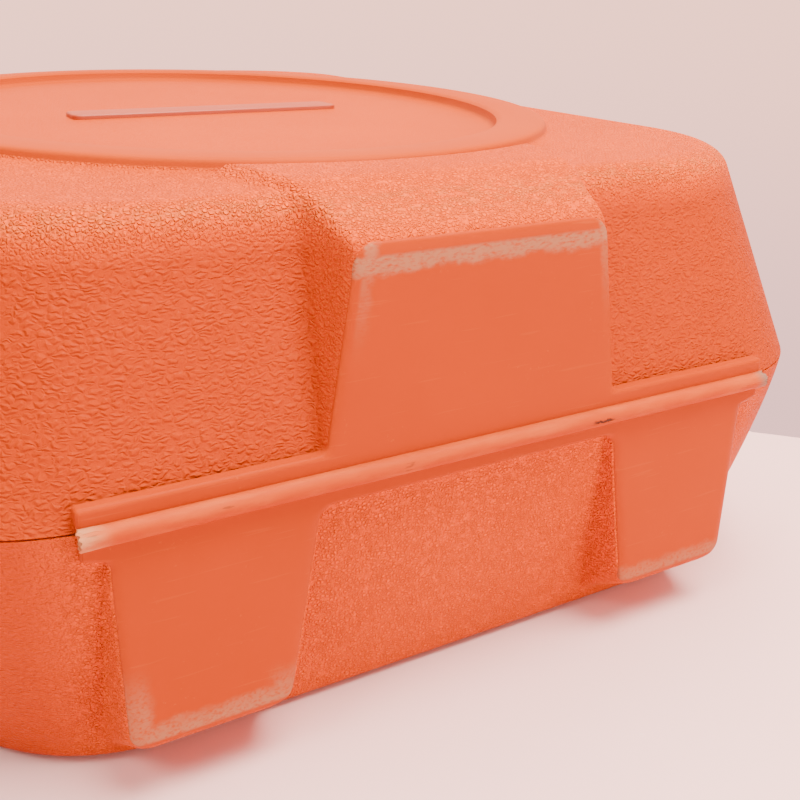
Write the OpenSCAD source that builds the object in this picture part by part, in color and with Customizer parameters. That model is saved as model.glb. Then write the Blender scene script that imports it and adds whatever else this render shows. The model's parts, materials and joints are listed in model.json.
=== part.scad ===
// Carrying case for a large angle grinder: two drafted half shells on a living hinge,
// a swinging handle and two snap latches. Millimetres, +X along the hinge, +Y from the
// hinge to the handle, +Z up. The origin is the middle of the case's footprint.

/* [Case] */
// Width of the case along the hinge, at the parting line
case_w = 342; // [338:2:380]
// Depth of the case from the hinge side to the handle side, at the parting line
case_d = 500; // [480:5:560]
// Height of the base half
base_h = 91.6; // [88:0.2:100]
// Height of the lid half up to its flat top
lid_h = 75; // [70:0.5:75]
// Corner radius of the case seen from above
corner_r = 60; // [50:1:61]
// Wall thickness of the outer shells
wall = 2.5; // [2:0.1:3]
// Wall thickness of the inner tray and liner
inner_wall = 2; // [1.5:0.1:2.5]
// Gap between the two halves when the case is shut
parting_gap = 0.3; // [0.2:0.1:0.5]

/* [Draft and edges] */
// Draft angle of the lid's side walls
lid_side_draft = 13; // [10:0.5:14]
// Draft angle of the lid's walls at the hinge and at the handle
lid_end_draft = 16; // [14:0.5:18]
// Corner radius of the lid at its top
lid_top_corner_r = 70; // [60:1:72]
// Draft angle of the base's side walls
base_side_draft = 9; // [7:0.5:12]
// Draft angle of the base's walls at the hinge and at the handle
base_end_draft = 12; // [10:0.5:14]
// Radius of the lid's top edge
lid_edge_r = 10; // [8:1:14]
// Radius of the base's bottom edge
base_edge_r = 8; // [6:1:12]

/* [Hinge side] */
// Length of the hinge bead
bead_l = 240; // [220:5:240]
// Diameter of the hinge bead
bead_d = 5.8; // [5:0.2:6]
// How far the wall stands behind the plane of the feet at the parting line
wall_setback = 2.4; // [2.2:0.1:4]
// How far each pad stands proud of its buttress
pad_proud = 1; // [0.6:0.1:1.4]
// Half width of the lid's pad at its lower edge
spine_half_low = 50.6; // [46:0.2:52]
// Half width of the lid's pad at its upper edge
spine_half_top = 41.5; // [38:0.5:44]
// Top of the lid's pad above the parting line
spine_top = 65; // [60:0.5:66]
// Bottom of the lid's pad above the parting line
spine_low = 7; // [6:0.5:8]
// Outer edge of each foot from the middle of the case
foot_outer = 112; // [108:0.5:114]
// Inner edge of each foot at its top
foot_inner_top = 53; // [50:0.5:56]
// Inner edge of each foot at its bottom
foot_inner_low = 64; // [60:0.5:66]
// Top of each foot below the parting line
foot_top = 8.2; // [7:0.2:9]
// Bottom of each foot below the parting line
foot_low = 70.6; // [68:0.2:71]

/* [Lid top] */
// Half width of the raised oval band
oval_a = 143; // [130:1:143]
// Half depth of the raised oval band
oval_b = 200; // [160:1:205]
// Width of the raised oval band
oval_band = 21; // [16:1:24]
// Height of the band above the lid's top
oval_proud = 3.6; // [2:0.2:3.6]
// Depth of the floor inside the band, below the lid's top
oval_sunk = 1.6; // [0:0.2:1.8]
// Length of the blank name plaque
plaque_l = 125; // [100:5:140]
// Depth of the blank name plaque
plaque_d = 19; // [14:1:24]
// Height of the blank name plaque above the oval's floor
plaque_h = 2; // [1:0.2:3]
// Distance of the plaque from the middle of the lid, towards the hinge
plaque_forward = 17; // [0:1:40]

/* [Nest] */
// Width of the channel for the tool's motor and handle
channel_w = 96; // [86:1:100]
// Length of that channel
channel_l = 420; // [400:5:430]
// Depth of that channel in the base
channel_depth = 74; // [50:1:76]
// Depth of that channel in the lid
lid_channel_depth = 54; // [40:1:56]
// Diameter of the round pocket for the wheel guard
guard_d = 250; // [240:1:252]
// Depth of the guard's pocket in the base
guard_depth = 34; // [20:1:40]
// Depth of the guard's pocket in the lid
lid_guard_depth = 24; // [16:1:30]
// Depth of the pocket for the side handle
side_handle_depth = 40; // [30:1:46]
// Depth of the pocket for the spanner and flanges
spanner_depth = 32; // [20:1:40]
// Height of the tongue round the base's rim
tongue_h = 3; // [2:0.2:3.2]

/* [Handle and latches] */
// Distance of each latch from the middle of the case
latch_x = 90; // [89:0.5:90]
// Width of the latch lever
latch_w = 34; // [28:1:34]
// Radius of the latch pins
latch_pin_r = 2; // [1.5:0.1:2.5]
// Distance of each handle arm from the middle of the case
handle_x = 53; // [52:0.5:54]
// Width of each handle arm
handle_arm_w = 8; // [6:0.5:8]
// Distance from the handle's pins to the middle of its grip
handle_reach = 36; // [32:1:36]
// Radius of the handle's soft grip
grip_r = 9; // [7:0.5:9]
// Radius of the handle pins
handle_pin_r = 3; // [2:0.1:3.5]
// Running clearance of a pin in a turning part, on the radius
run_gap = 0.05; // [0.02:0.01:0.1]

/* [Hidden] */

shell_orange = "#de6838";
liner_orange = "#d45f30";
pad_orange = "#e2713f";
black = "#26272a";
steel = "#b8bcc0";

hull_fn = 32;
fine = 72;
eps = 0.01;
bead_r = bead_d / 2;
// Depths are measured back from the plane of the feet. The web bends about an axis just before the bead.
bead_y = bead_r - 3.7;
front = -(case_d + 3.7) / 2 + 3.7;
back = case_d;
wall_front = wall_setback;
mid = (wall_front + back) / 2;
plan_d = back - wall_front;
rim = base_h;

// Handle and latch places, back from the feet's plane and up from the parting line
latch_floor = 482;
latch_pin_y = 491;
latch_pin_z = -30;
latch_recess_w = 40;
latch_recess_low = -44;
latch_recess_top = 36;
lever_t = 3.5;
barrel_r = 4.5;
hook_under = 13;
hook_t = 4;
hook_inner = 486.5;
tab_top = 24;
ear_t = 2.5;
ear_gap = 0.2;
plate_t = 2.5;
keeper_low = 6;
keeper_out = 490.5;
handle_floor = 478;
handle_pin_y = 490;
handle_pin_z = -16;
handle_recess_w = 126;
handle_recess_low = -66;
handle_recess_top = -4;
handle_bar_r = 6;
arm_r = 6.5;
grip_l = 88;
rivet_r = 1.6;
rivet_head_r = 3;
rivet_head_t = 1.2;
rim_flange = 10;
tongue_t = 2.5;
tongue_in = 12;

// Moves children from the hinge side's own measures into the part's frame
module place() {
    translate([0, front, rim]) children();
}

// A rectangle with round corners, centred on the case's plan
module plan(side_in, end_in, r) {
    w = case_w - 2 * side_in;
    d = plan_d - 2 * end_in;
    translate([0, mid]) {
        square([w - 2 * r, d], center = true);
        square([w, d - 2 * r], center = true);
        for (sx = [-1, 1], sy = [-1, 1])
            translate([sx * (w / 2 - r), sy * (d / 2 - r)]) circle(r = r, $fn = hull_fn);
    }
}

module even_plan(inset) {
    plan(inset, inset, corner_r - inset);
}

// A drafted block with a rounded far edge. It grows from the parting line to height h.
// shrink takes a wall's thickness off its sides and its far face.
module drafted(h, side_draft, end_draft, top_corner_r, edge_r, shrink) {
    top = h - shrink;
    r = edge_r - shrink;
    side_in = shrink + r * cos(side_draft) + tan(side_draft) * (top - r + r * sin(side_draft));
    end_in = shrink + r * cos(end_draft) + tan(end_draft) * (top - r + r * sin(end_draft));
    hull() {
        linear_extrude(eps) even_plan(shrink);
        for (i = [0:4]) {
            a = side_draft + (90 - side_draft) * i / 4;
            translate([0, 0, top - r + r * sin(a) - eps]) linear_extrude(eps)
                plan(side_in - r * cos(a), end_in - r * cos(a), top_corner_r - shrink);
        }
    }
}

// A closed convex solid over a list of corners
module over(corners) {
    hull() for (p = corners) translate(p) cube(eps, center = true);
}

module mirrored(side) {
    if (side < 0) mirror([1, 0, 0]) children();
    else children();
}

// Boxes that stand in the far wall for the latches and the handle
module latch_recess(grow) {
    for (side = [-1, 1])
        translate([side * latch_x - latch_recess_w / 2 - grow, latch_floor - grow,
                   latch_recess_low - grow])
            cube([latch_recess_w + 2 * grow, 60, latch_recess_top - latch_recess_low + 2 * grow]);
}

module handle_recess(grow) {
    translate([-handle_recess_w / 2 - grow, handle_floor - grow, handle_recess_low - grow])
        cube([handle_recess_w + 2 * grow, 60, handle_recess_top - handle_recess_low + 2 * grow]);
}

module base_block(shrink) {
    mirror([0, 0, 1])
        drafted(base_h, base_side_draft, base_end_draft, corner_r, base_edge_r, shrink);
}

module lid_block(shrink) {
    drafted(lid_h, lid_side_draft, lid_end_draft, lid_top_corner_r, lid_edge_r, shrink);
}

// The wedge behind one foot, on the positive side. Its underside slopes up to the foot.
module foot_buttress() {
    face = pad_proud + 2 * eps;
    z_top = -foot_top;
    z_low = -foot_low - 0.6;
    z_back = z_low - 10.5;
    over([
        [foot_inner_top - 0.6, face, z_top], [foot_outer + 0.6, face, z_top],
        [foot_inner_low - 0.6, face, z_low], [foot_outer + 0.6, face, z_low],
        [foot_inner_top - 1, 5, z_top + 1.5], [foot_outer + 1.5, 5, z_top + 1.5],
        [foot_inner_low - 3, 19, z_low], [foot_outer + 3, 19, z_low],
        [foot_inner_low - 3, 20, z_back], [foot_outer + 3, 20, z_back],
        [foot_inner_low, 30, z_back], [foot_outer, 30, z_back],
    ]);
}

// The wedge behind the lid's pad. Its upper side slopes up into the lid's top.
module spine_buttress() {
    face = pad_proud + 2 * eps;
    over([for (s = [-1, 1]) each [
        [s * (spine_half_low + 0.6), face, spine_low],
        [s * (spine_half_low + 2), 5, spine_low - 1],
        [s * (spine_half_top + 0.6), face, spine_top + 0.6],
        [s * (spine_half_top + 6), 22, spine_top],
        [s * (spine_half_top + 1), 21, lid_h - eps],
        [s * (spine_half_top + 9), 40, lid_h - eps],
    ]]);
}

module base_outer_shell() {
    color(shell_orange) place() difference() {
        union() {
            difference() {
                base_block(0);
                base_block(wall);
            }
            intersection() {
                base_block(0);
                union() {
                    latch_recess(wall);
                    handle_recess(wall);
                }
            }
            for (side = [-1, 1]) mirrored(side) foot_buttress();
        }
        latch_recess(0);
        handle_recess(0);
        base_rivet_places() rivet_hole();
        translate([-case_w, -case_d, -parting_gap]) cube([2 * case_w, 3 * case_d, base_h]);
    }
}

module oval(grow, z, h) {
    translate([0, mid, z]) linear_extrude(h)
        scale([oval_a + grow, oval_b + grow]) circle(r = 1, $fn = fine);
}

module lid_outer_shell() {
    floor_z = lid_h - oval_sunk;
    color(shell_orange) place() difference() {
        union() {
            difference() {
                lid_block(0);
                lid_block(wall);
            }
            intersection() {
                lid_block(0);
                latch_recess(wall);
            }
            spine_buttress();
            oval(0, floor_z - wall, oval_sunk + wall + oval_proud);
        }
        oval(-oval_band, floor_z, 20);
        latch_recess(0);
        lid_rivet_places() rivet_hole();
        translate([-case_w, -case_d, parting_gap - base_h]) cube([2 * case_w, 3 * case_d, base_h]);
    }
}

// Outlines of the nest's pockets. grow adds the tray's wall round them.
module channel_outline(grow) {
    w = channel_w + 2 * grow;
    straight = channel_l - channel_w;
    translate([0, mid]) {
        square([w, straight], center = true);
        for (s = [-1, 1]) translate([0, s * straight / 2]) circle(d = w, $fn = fine);
    }
}

module guard_outline(grow) {
    translate([0, mid - plan_d / 2 + 42 + guard_d / 2]) circle(d = guard_d + 2 * grow, $fn = fine);
}

// A pocket with round ends, along Y, for the side handle or the spanner
module slot_outline(x, y, w, l, grow) {
    translate([x, y]) {
        square([w + 2 * grow, l - w], center = true);
        for (s = [-1, 1]) translate([0, s * (l - w) / 2]) circle(d = w + 2 * grow, $fn = fine);
    }
}

module side_handle_outline(grow) {
    slot_outline(-96, mid + 112, 46, 150, grow);
}

module spanner_outline(grow) {
    slot_outline(96, mid + 112, 56, 150, grow);
}

// Walls and floor of one pocket, with its mouth at the parting line. dir is 1 upwards.
module pocket(depth, dir, grow) {
    translate([0, 0, dir < 0 ? -depth - grow : 0]) linear_extrude(depth + grow) children();
}

// Everything that is hollow in the base's nest
module nest_hollows() {
    pocket(channel_depth, -1, 0) channel_outline(0);
    pocket(guard_depth, -1, 0) guard_outline(0);
    pocket(side_handle_depth, -1, 0) side_handle_outline(0);
    pocket(spanner_depth, -1, 0) spanner_outline(0);
}

// Cuts away what would stand above the underside of the tray's plate
module below_plate() {
    intersection() {
        children();
        translate([-case_w, -case_d, -parting_gap - plate_t - base_h])
            cube([2 * case_w, 3 * case_d, base_h]);
    }
}

module base_inner_tray() {
    color(liner_orange) place() difference() {
        union() {
            translate([0, 0, -plate_t - parting_gap]) linear_extrude(plate_t) even_plan(wall + 1);
            translate([0, 0, -parting_gap - eps]) linear_extrude(tongue_h + eps) difference() {
                even_plan(tongue_in);
                even_plan(tongue_in + tongue_t);
            }
        }
        nest_hollows();
        latch_recess(wall + 0.3);
        handle_recess(wall + 0.3);
    }
}

module nest_channel() {
    color(liner_orange) place() below_plate() difference() {
        union() {
            pocket(channel_depth, -1, inner_wall) channel_outline(inner_wall);
            pocket(guard_depth, -1, inner_wall) guard_outline(inner_wall);
        }
        nest_hollows();
    }
}

module nest_handle_pocket() {
    color(liner_orange) place() below_plate() difference() {
        pocket(side_handle_depth, -1, inner_wall) side_handle_outline(inner_wall);
        nest_hollows();
    }
}

module nest_spanner_pocket() {
    color(liner_orange) place() below_plate() difference() {
        pocket(spanner_depth, -1, inner_wall) spanner_outline(inner_wall);
        nest_hollows();
    }
}

module lid_inner_liner() {
    g = inner_wall;
    web_z = tongue_h + 1;
    color(liner_orange) place() difference() {
        union() {
            translate([0, 0, web_z]) linear_extrude(plate_t) even_plan(wall + 3);
            translate([0, 0, parting_gap]) linear_extrude(web_z + 1) difference() {
                even_plan(wall + 3);
                even_plan(rim_flange);
            }
            translate([0, 0, web_z]) {
                pocket(lid_channel_depth, 1, g) channel_outline(g);
                pocket(lid_guard_depth, 1, g) guard_outline(g);
            }
        }
        translate([0, 0, web_z - 1]) {
            pocket(lid_channel_depth + 1, 1, 0) channel_outline(0);
            pocket(lid_guard_depth + 1, 1, 0) guard_outline(0);
        }
        latch_recess(wall + 0.3);
    }
}

// A pad as an outline in X and Z, raised along Y
module pad(outline) {
    translate([0, pad_proud, 0]) rotate([90, 0, 0]) linear_extrude(pad_proud) polygon(outline);
}

module foot(side) {
    color(pad_orange) place() mirrored(side) pad([
        [foot_inner_top, -foot_top], [foot_outer, -foot_top],
        [foot_outer, -foot_low], [foot_inner_low, -foot_low],
    ]);
}

module lid_spine_pad() {
    color(pad_orange) place() pad([
        [-spine_half_low, spine_low], [spine_half_low, spine_low],
        [spine_half_top, spine_top], [-spine_half_top, spine_top],
    ]);
}

module hinge_bead() {
    color(pad_orange) place() translate([-bead_l / 2, bead_y, 0])
        rotate([0, 90, 0]) cylinder(r = bead_r, h = bead_l, $fn = fine);
}

module name_plaque() {
    r = 4;
    color(pad_orange) place() translate([0, mid - plaque_forward, lid_h - oval_sunk])
        linear_extrude(plaque_h) {
        square([plaque_l - 2 * r, plaque_d], center = true);
        square([plaque_l, plaque_d - 2 * r], center = true);
        for (sx = [-1, 1], sy = [-1, 1])
            translate([sx * (plaque_l / 2 - r), sy * (plaque_d / 2 - r)]) circle(r = r, $fn = fine);
    }
}

// A round bar along X, from x0 to x1
module bar(x0, x1, r) {
    translate([x0, 0, 0]) rotate([0, 90, 0]) cylinder(r = r, h = x1 - x0, $fn = fine);
}

// A riveted plate with two ears that hold a pin. Its middle is at x and the pin at y, z.
module ear_bracket(inner_w, pin_y, pin_z, floor_y, ear_r, pin_r, low, top) {
    outer = inner_w / 2 + ear_t;
    difference() {
        union() {
            translate([-outer, floor_y, low]) cube([2 * outer, plate_t, top - low]);
            for (s = [-1, 1]) translate([s > 0 ? inner_w / 2 : -outer, 0, 0]) {
                translate([0, floor_y, pin_z - ear_r]) cube([ear_t, pin_y - floor_y, 2 * ear_r]);
                translate([0, pin_y, pin_z]) bar(0, ear_t, ear_r);
            }
        }
        translate([0, pin_y, pin_z]) bar(-outer - 1, outer + 1, pin_r);
    }
}

module latch_bracket(side) {
    color(black) place() difference() {
        translate([side * latch_x, 0, 0])
            ear_bracket(latch_w + 2 * ear_gap, latch_pin_y, latch_pin_z, latch_floor,
                        barrel_r, latch_pin_r, latch_recess_low + 0.5, -6);
        base_rivet_places() rivet_hole();
    }
}

module latch_pin(side) {
    half = latch_w / 2 + ear_gap + ear_t;
    color(steel) place() translate([side * latch_x, latch_pin_y, latch_pin_z])
        bar(-half, half, latch_pin_r);
}

// The lever turns on its pin. Its hook lies over the keeper's ledge on the lid.
module latch_lever(side) {
    outer = latch_pin_y + barrel_r;
    color(black) place() translate([side * latch_x, 0, 0]) difference() {
        union() {
            translate([0, latch_pin_y, latch_pin_z]) bar(-latch_w / 2, latch_w / 2, barrel_r);
            translate([-latch_w / 2, outer - lever_t, latch_pin_z])
                cube([latch_w, lever_t, tab_top - latch_pin_z]);
            translate([-latch_w / 2, hook_inner, hook_under])
                cube([latch_w, outer - hook_inner, hook_t]);
            translate([-latch_w / 2, outer - lever_t, tab_top - 3]) cube([latch_w, 7, 3]);
        }
        translate([0, latch_pin_y, latch_pin_z])
            bar(-latch_w, latch_w, latch_pin_r + run_gap);
    }
}

module latch_keeper(side) {
    w = latch_w + 4;
    ledge_t = hook_under - parting_gap - keeper_low;
    color(black) place() difference() {
        translate([side * latch_x - w / 2, latch_floor, keeper_low]) {
            cube([w, plate_t, latch_recess_top - keeper_low - 0.5]);
            cube([w, keeper_out - latch_floor, ledge_t]);
        }
        lid_rivet_places() rivet_hole();
    }
}

module handle_bow() {
    z_bar = handle_pin_z - handle_reach;
    color(black) place() difference() {
        union() {
            for (s = [-1, 1]) translate([s * handle_x - handle_arm_w / 2, 0, 0]) {
                translate([0, handle_pin_y, handle_pin_z]) bar(0, handle_arm_w, arm_r);
                translate([0, handle_pin_y - arm_r, z_bar]) cube([handle_arm_w, 2 * arm_r, handle_reach]);
                translate([0, handle_pin_y, z_bar]) bar(0, handle_arm_w, arm_r);
            }
            translate([0, handle_pin_y, z_bar]) bar(-handle_x, handle_x, handle_bar_r);
        }
        translate([0, handle_pin_y, handle_pin_z])
            for (s = [-1, 1]) translate([s * handle_x, 0, 0])
                bar(-handle_arm_w, handle_arm_w, handle_pin_r + run_gap);
    }
}

module handle_grip() {
    color(black) place() translate([0, handle_pin_y, handle_pin_z - handle_reach]) difference() {
        bar(-grip_l / 2, grip_l / 2, grip_r);
        bar(-grip_l, grip_l, handle_bar_r);
    }
}

module handle_bracket(side) {
    color(black) place() difference() {
        translate([side * handle_x, 0, 0])
            ear_bracket(handle_arm_w + 2 * ear_gap, handle_pin_y, handle_pin_z, handle_floor,
                        arm_r, handle_pin_r, handle_pin_z - 26, handle_pin_z + 8);
        base_rivet_places() rivet_hole();
    }
}

module handle_pin(side) {
    half = handle_arm_w / 2 + ear_gap + ear_t;
    color(steel) place() translate([side * handle_x, handle_pin_y, handle_pin_z])
        bar(-half, half, handle_pin_r);
}

// Rivets point along Y through a plate on a recess's floor
module at_plate(x, floor_y, z) {
    translate([x, floor_y, z]) rotate([-90, 0, 0]) children();
}

module base_rivet_places() {
    for (side = [-1, 1]) {
        for (dx = [-10, 10]) at_plate(side * latch_x + dx, latch_floor, -14) children();
        at_plate(side * handle_x, handle_floor, handle_pin_z - 18) children();
    }
}

module lid_rivet_places() {
    for (side = [-1, 1], dx = [-10, 10])
        at_plate(side * latch_x + dx, latch_floor, 27) children();
}

module rivet_hole() {
    translate([0, 0, -wall - 1]) cylinder(r = rivet_r, h = wall + plate_t + 2, $fn = fine);
}

module rivet() {
    translate([0, 0, -wall]) cylinder(r = rivet_r, h = wall + plate_t + 0.5, $fn = fine);
    translate([0, 0, plate_t]) cylinder(r = rivet_head_r, h = rivet_head_t, $fn = fine);
}

module base_rivets() {
    color(steel) place() base_rivet_places() rivet();
}

module lid_rivets() {
    color(steel) place() lid_rivet_places() rivet();
}

base_outer_shell();
base_inner_tray();
nest_channel();
nest_handle_pocket();
nest_spanner_pocket();
foot(-1);  // foot_left
foot(1);  // foot_right
hinge_bead();
lid_outer_shell();
lid_inner_liner();
lid_spine_pad();
name_plaque();
handle_bow();
handle_grip();
handle_bracket(-1);  // handle_bracket_left
handle_bracket(1);  // handle_bracket_right
handle_pin(-1);  // handle_pin_left
handle_pin(1);  // handle_pin_right
latch_lever(-1);  // latch_lever_left
latch_lever(1);  // latch_lever_right
latch_bracket(-1);  // latch_bracket_left
latch_bracket(1);  // latch_bracket_right
latch_pin(-1);  // latch_pin_left
latch_pin(1);  // latch_pin_right
latch_keeper(-1);  // latch_keeper_left
latch_keeper(1);  // latch_keeper_right
base_rivets();
lid_rivets();
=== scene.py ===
"""Looks of an orange blow-moulded tool case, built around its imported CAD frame.

Lengths inside the classes are millimetres in the case's own measures: x along the hinge from the
middle, y back from the plane of the feet, z up from the parting line. Blender's data is in metres.
"""

from __future__ import annotations

import json
import logging
import math
from dataclasses import dataclass, field
from enum import Enum
from typing import Callable, Iterator, Sequence

import bpy
import numpy as np
from mathutils import Matrix, Vector, noise

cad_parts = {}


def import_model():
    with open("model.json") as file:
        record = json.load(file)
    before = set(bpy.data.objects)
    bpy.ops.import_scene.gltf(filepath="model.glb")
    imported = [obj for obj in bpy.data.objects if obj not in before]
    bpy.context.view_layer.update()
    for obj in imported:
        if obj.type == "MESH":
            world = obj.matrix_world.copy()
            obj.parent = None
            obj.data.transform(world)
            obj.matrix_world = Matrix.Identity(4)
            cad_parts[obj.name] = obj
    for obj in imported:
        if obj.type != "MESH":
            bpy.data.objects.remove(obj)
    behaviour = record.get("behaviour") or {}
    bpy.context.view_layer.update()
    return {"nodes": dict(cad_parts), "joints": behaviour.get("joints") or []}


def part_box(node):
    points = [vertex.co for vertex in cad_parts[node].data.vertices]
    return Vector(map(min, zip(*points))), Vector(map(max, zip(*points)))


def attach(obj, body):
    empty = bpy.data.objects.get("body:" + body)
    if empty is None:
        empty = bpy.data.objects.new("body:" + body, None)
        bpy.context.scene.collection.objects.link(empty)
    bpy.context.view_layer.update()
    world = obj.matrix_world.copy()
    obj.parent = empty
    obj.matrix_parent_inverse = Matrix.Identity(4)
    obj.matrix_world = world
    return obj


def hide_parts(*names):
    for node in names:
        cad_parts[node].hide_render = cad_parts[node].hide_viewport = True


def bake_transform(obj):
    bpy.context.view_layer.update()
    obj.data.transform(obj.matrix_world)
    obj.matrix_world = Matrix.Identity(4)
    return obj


LOG = logging.getLogger("tool_case")
MM = 0.001
Rgb = tuple[float, float, float]


# ---------------------------------------------------------------- names and measures


class Body(Enum):
    """Moving bodies that carry pieces made here."""

    BASE = "base"
    LID = "lid"


class Slot(Enum):
    """Names of material slots for the pieces made here, which finish takes but does not use."""

    GRAINED = "grained_orange"
    SMOOTH = "smooth_orange"
    HINGE = "hinge_orange"


@dataclass(frozen=True)
class Fixed:
    """Sizes that several pieces share, in case millimetres."""

    face: float = 1.2
    face_front: float = 2.6
    setback: float = 2.4
    gap: float = 0.3
    wall: float = 2.5
    lip: float = 0.6
    strip_half: float = 119.0
    strip_top: float = 7.6
    pad_half_low: float = 50.6
    pad_half_top: float = 41.5
    pad_low: float = 7.0
    pad_top: float = 65.0
    foot_outer: float = 112.0
    foot_inner_top: float = 53.0
    foot_inner_low: float = 64.0
    foot_top: float = 8.2
    foot_low: float = 70.6

    @property
    def pad_lean(self) -> float:
        """How far each side of the pad comes in for each millimetre up."""
        return (self.pad_half_low - self.pad_half_top) / (self.pad_top - self.pad_low)

    @property
    def foot_lean(self) -> float:
        """How far the inner side of a foot goes out for each millimetre down."""
        return (self.foot_inner_low - self.foot_inner_top) / (self.foot_low - self.foot_top)


FIXED = Fixed()


@dataclass
class Measures:
    """Main measures of the case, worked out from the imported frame."""

    front: float
    rim: float
    half_width: float
    depth: float
    lid_top: float
    band_top: float
    bead_radius: float
    bead_half: float
    bead_depth: float

    @classmethod
    def from_frame(cls, joints: Sequence[dict]) -> "Measures":
        """Reads the boxes of the nodes and the hinge.

        Args:
            joints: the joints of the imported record.

        Returns:
            The measures, in millimetres.
        """
        rim = next(j for j in joints if j["name"] == "lid_hinge")["pos_m"][2] / MM
        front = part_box("foot_left")[0][1] / MM
        low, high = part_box("lid_outer_shell")
        bead_low, bead_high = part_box("hinge_bead")
        plaque_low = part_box("name_plaque")[0]
        return cls(
            front=front,
            rim=rim,
            half_width=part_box("base_outer_shell")[1][0] / MM,
            depth=high[1] / MM - front,
            lid_top=plaque_low[2] / MM - rim + 1.6,
            band_top=high[2] / MM - rim,
            bead_radius=(bead_high[2] - bead_low[2]) / 2 / MM,
            bead_half=bead_high[0] / MM,
            bead_depth=(bead_low[1] + bead_high[1]) / 2 / MM - front,
        )

    def place(self, points: np.ndarray) -> np.ndarray:
        """Turns case measures in millimetres into metres in the part's frame."""
        return (points + np.array([0.0, self.front, self.rim])) * MM

    def spot(self, x: float, y: float, z: float) -> Vector:
        """One point of the case's measures as a vector in metres."""
        return Vector(self.place(np.array([x, y, z], float)))


# ---------------------------------------------------------------- shader graphs


@dataclass(frozen=True)
class Signal:
    """A node socket that takes part in arithmetic."""

    graph: "Graph"
    socket: bpy.types.NodeSocket

    def _math(self, operation: str, left: object, right: object) -> "Signal":
        """Adds one Math node."""
        node = self.graph.node("ShaderNodeMath", {"operation": operation}, {0: left, 1: right})
        return Signal(self.graph, node.outputs[0])

    def __add__(self, other: object) -> "Signal":
        """Sum."""
        return self._math("ADD", self, other)

    def __sub__(self, other: object) -> "Signal":
        """Difference."""
        return self._math("SUBTRACT", self, other)

    def __rsub__(self, other: object) -> "Signal":
        """Reflected difference."""
        return self._math("SUBTRACT", other, self)

    def __mul__(self, other: object) -> "Signal":
        """Product."""
        return self._math("MULTIPLY", self, other)

    __radd__, __rmul__ = __add__, __mul__

    def at_least(self, other: object) -> "Signal":
        """The larger of two values."""
        return self._math("MAXIMUM", self, other)

    def at_most(self, other: object) -> "Signal":
        """The smaller of two values."""
        return self._math("MINIMUM", self, other)

    def size(self) -> "Signal":
        """Absolute value."""
        return self._math("ABSOLUTE", self, 0.0)

    def ramp(self, low: float, high: float) -> "Signal":
        """Rises smoothly from 0 at low to 1 at high, or falls when low is above high."""
        reverse = low > high
        if reverse:
            low, high = high, low
        node = self.graph.node(
            "ShaderNodeMapRange",
            {"interpolation_type": "SMOOTHSTEP"},
            {"Value": self, "From Min": low, "From Max": high},
        )
        out = Signal(self.graph, node.outputs[0])
        return 1 - out if reverse else out


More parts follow.
